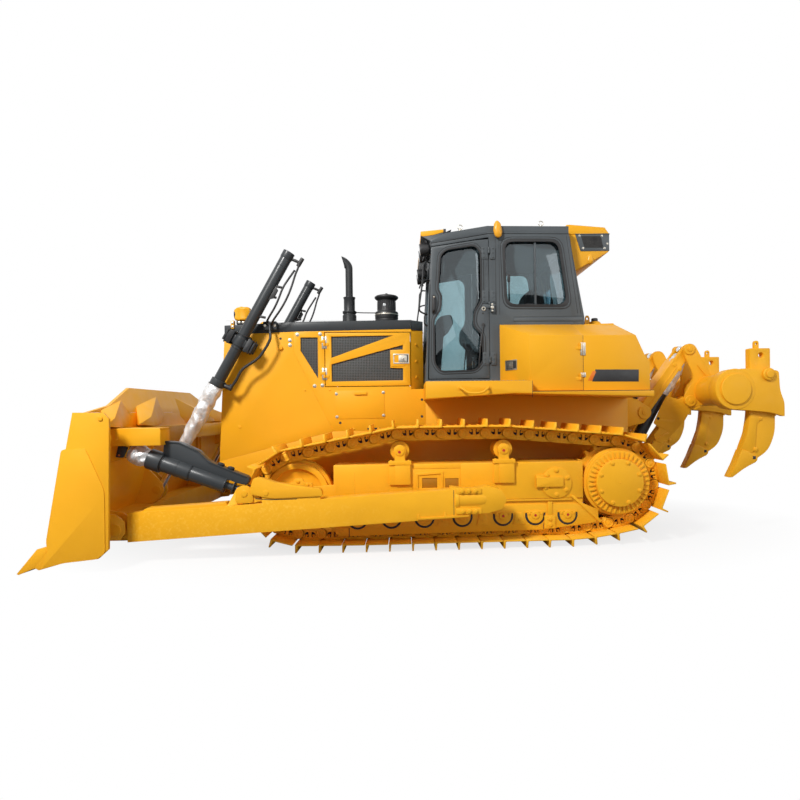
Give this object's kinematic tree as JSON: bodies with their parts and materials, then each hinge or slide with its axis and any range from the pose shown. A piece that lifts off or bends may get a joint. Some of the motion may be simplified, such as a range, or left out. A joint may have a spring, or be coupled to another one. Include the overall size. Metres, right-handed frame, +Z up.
{
  "type": "crawler bulldozer with ripper",
  "caption": "Crawler bulldozer: semi-U blade on push arms, closed cab, engine hood, steel tracks and a parallelogram ripper, with lift, pitch, ripper and door joints.",
  "frame": {"origin": "on the ground under the grouser tips, in the middle of the whole machine from cutting edge to ripper, on its centre plane", "axes": "+X forward to the blade, +Y to the left side, +Z up"},
  "size_m": [7.184, 3.724, 3.3],
  "materials": {
    "yellow_paint": "gloss enamel",
    "dark_paint": "satin enamel",
    "yellow_track": "enamel over rough castings",
    "rod_chrome": "polished",
    "cab_glass": "tinted",
    "engine_iron": "painted",
    "exhaust_steel": "heat stained",
    "black_plastic": "moulded",
    "grille_mesh": "perforated, satin",
    "seat_cover": "woven",
    "console_plastic": "grained"
  },
  "bodies": {
    "root": {"air_conditioner": "yellow_paint", "cab_floor": "dark_paint", "cab_frame": "dark_paint", "cab_glass": "cab_glass", "cab_roof": "dark_paint", "carrier_rollers": "yellow_track", "control_console": "console_plastic", "decks": "yellow_paint", "engine": "engine_iron", "engine_side_panels": "yellow_paint", "equalizer_bar": "yellow_paint", "exhaust_pipe": "exhaust_steel", "hood": "dark_paint", "idlers": "yellow_track", "lift_yokes": "dark_paint", "main_frame": "yellow_paint", "pivot_shafts": "yellow_paint", "precleaner": "black_plastic", "radiator_grille": "grille_mesh", "radiator_guard": "yellow_paint", "rear_tank": "yellow_paint", "ripper_mount": "yellow_paint", "seat": "seat_cover", "side_boxes": "yellow_paint", "sprockets": "yellow_track", "track_frame_left": "yellow_paint", "track_frame_right": "yellow_paint", "track_left": "yellow_track", "track_right": "yellow_track", "track_rollers": "yellow_track"},
    "push_arms": {"push_arm_left": "yellow_paint", "push_arm_right": "yellow_paint"},
    "blade": {"moldboard": "yellow_paint", "cutting_edge": "yellow_paint", "spill_guard": "yellow_paint", "tilt_cylinder_guards": "yellow_paint"},
    "lift_barrels": {"lift_barrels": "dark_paint"},
    "lift_rods": {"lift_rods": "rod_chrome"},
    "tilt_barrels": {"tilt_barrels": "dark_paint"},
    "tilt_rods": {"tilt_rods": "rod_chrome"},
    "ripper_lower": {"ripper_lower_links": "yellow_paint"},
    "ripper_upper": {"ripper_upper_links": "yellow_paint"},
    "ripper_beam": {"ripper_beam": "yellow_paint", "ripper_shank_left": "yellow_paint", "ripper_shank_middle": "yellow_paint", "ripper_shank_right": "yellow_paint"},
    "ripper_barrels": {"ripper_barrels": "dark_paint"},
    "ripper_rods": {"ripper_rods": "rod_chrome"},
    "cab_door_left": {"cab_door_left": "dark_paint", "cab_door_glass_left": "cab_glass"},
    "cab_door_right": {"cab_door_right": "dark_paint", "cab_door_glass_right": "cab_glass"},
    "engine_door_left": {"engine_door_left": "yellow_paint"},
    "engine_door_right": {"engine_door_right": "yellow_paint"},
    "box_door_left": {"box_door_left": "yellow_paint"},
    "box_door_right": {"box_door_right": "yellow_paint"}
  },
  "joints": [
    {"name": "blade_lift", "type": "hinge", "parent": "root", "child": "push_arms", "pos_m": [-0.391, 0, 0.508], "axis": [0, -1, 0], "range_deg": [-7, 18]},
    {"name": "blade_pitch", "type": "hinge", "parent": "push_arms", "child": "blade", "pos_m": [2.916, 0, 0.31], "axis": [0, -1, 0], "range_deg": [-6, 6]},
    {"name": "lift_barrel_swing", "type": "hinge", "parent": "root", "child": "lift_barrels", "pos_m": [2.044, 0, 2.063], "axis": [0, -1, 0], "range_deg": [-8.07, 19.97]},
    {"name": "lift_rod_slide", "type": "slide", "parent": "lift_barrels", "child": "lift_rods", "axis": [-0.4845, 0, 0.8748], "range_m": [-0.3545, 0.9037]},
    {"name": "tilt_barrel_swing", "type": "hinge", "parent": "push_arms", "child": "tilt_barrels", "pos_m": [1.799, 0, 0.608], "axis": [0, -1, 0], "range_deg": [-1.19, 1.19]},
    {"name": "tilt_rod_slide", "type": "slide", "parent": "tilt_barrels", "child": "tilt_rods", "axis": [-0.9355, 0, -0.3533], "range_m": [-0.0732, 0.0732]},
    {"name": "ripper_lift", "type": "hinge", "parent": "root", "child": "ripper_lower", "pos_m": [-2.284, 0, 0.705], "axis": [0, -1, 0], "range_deg": [0, 88]},
    {"name": "ripper_upper_swing", "type": "hinge", "parent": "root", "child": "ripper_upper", "pos_m": [-2.277, 0, 1.276], "axis": [0, -1, 0], "range_deg": [-0.5, 88.5]},
    {"name": "ripper_beam_swing", "type": "hinge", "parent": "ripper_lower", "child": "ripper_beam", "pos_m": [-2.8, 0, 1.397], "axis": [0, -1, 0], "range_deg": [-88.5, 0.5]},
    {"name": "ripper_barrel_swing", "type": "hinge", "parent": "root", "child": "ripper_barrels", "pos_m": [-2.19, 0, 0.86], "axis": [0, -1, 0], "range_deg": [-0.5, 64.71]},
    {"name": "ripper_rod_slide", "type": "slide", "parent": "ripper_barrels", "child": "ripper_rods", "axis": [0.478, 0, -0.8783], "range_m": [-0.005, 0.4312]},
    {"name": "cab_door_left_swing", "type": "hinge", "parent": "root", "child": "cab_door_left", "pos_m": [-0.538, 0.817, 2.4], "axis": [0, 0, 1], "range_deg": [0, 105]},
    {"name": "engine_door_left_swing", "type": "hinge", "parent": "root", "child": "engine_door_left", "pos_m": [1.203, 0.601, 1.9], "axis": [0, 0, -1], "range_deg": [0, 110]},
    {"name": "box_door_left_swing", "type": "hinge", "parent": "root", "child": "box_door_left", "pos_m": [-1.376, 1.211, 1.8], "axis": [0, 0, 1], "range_deg": [0, 110]},
    {"name": "cab_door_right_swing", "type": "hinge", "parent": "root", "child": "cab_door_right", "pos_m": [-0.538, -0.817, 2.4], "axis": [0, 0, -1], "range_deg": [0, 105]},
    {"name": "engine_door_right_swing", "type": "hinge", "parent": "root", "child": "engine_door_right", "pos_m": [1.203, -0.601, 1.9], "axis": [0, 0, 1], "range_deg": [0, 110]},
    {"name": "box_door_right_swing", "type": "hinge", "parent": "root", "child": "box_door_right", "pos_m": [-1.376, -1.211, 1.8], "axis": [0, 0, -1], "range_deg": [0, 110]}
  ],
  "couplings": [
    {"joint": "lift_barrel_swing", "follows": "blade_lift", "ratio": 1.0817},
    {"joint": "lift_rod_slide", "follows": "blade_lift", "m_per_rad": 2.8606},
    {"joint": "tilt_barrel_swing", "follows": "blade_pitch", "ratio": 0.1649},
    {"joint": "tilt_rod_slide", "follows": "blade_pitch", "m_per_rad": 0.67},
    {"joint": "ripper_upper_swing", "follows": "ripper_lift", "ratio": 1},
    {"joint": "ripper_beam_swing", "follows": "ripper_lift", "ratio": -1},
    {"joint": "ripper_barrel_swing", "follows": "ripper_lift", "ratio": 0.7297},
    {"joint": "ripper_rod_slide", "follows": "ripper_lift", "m_per_rad": 0.2775}
  ]
}
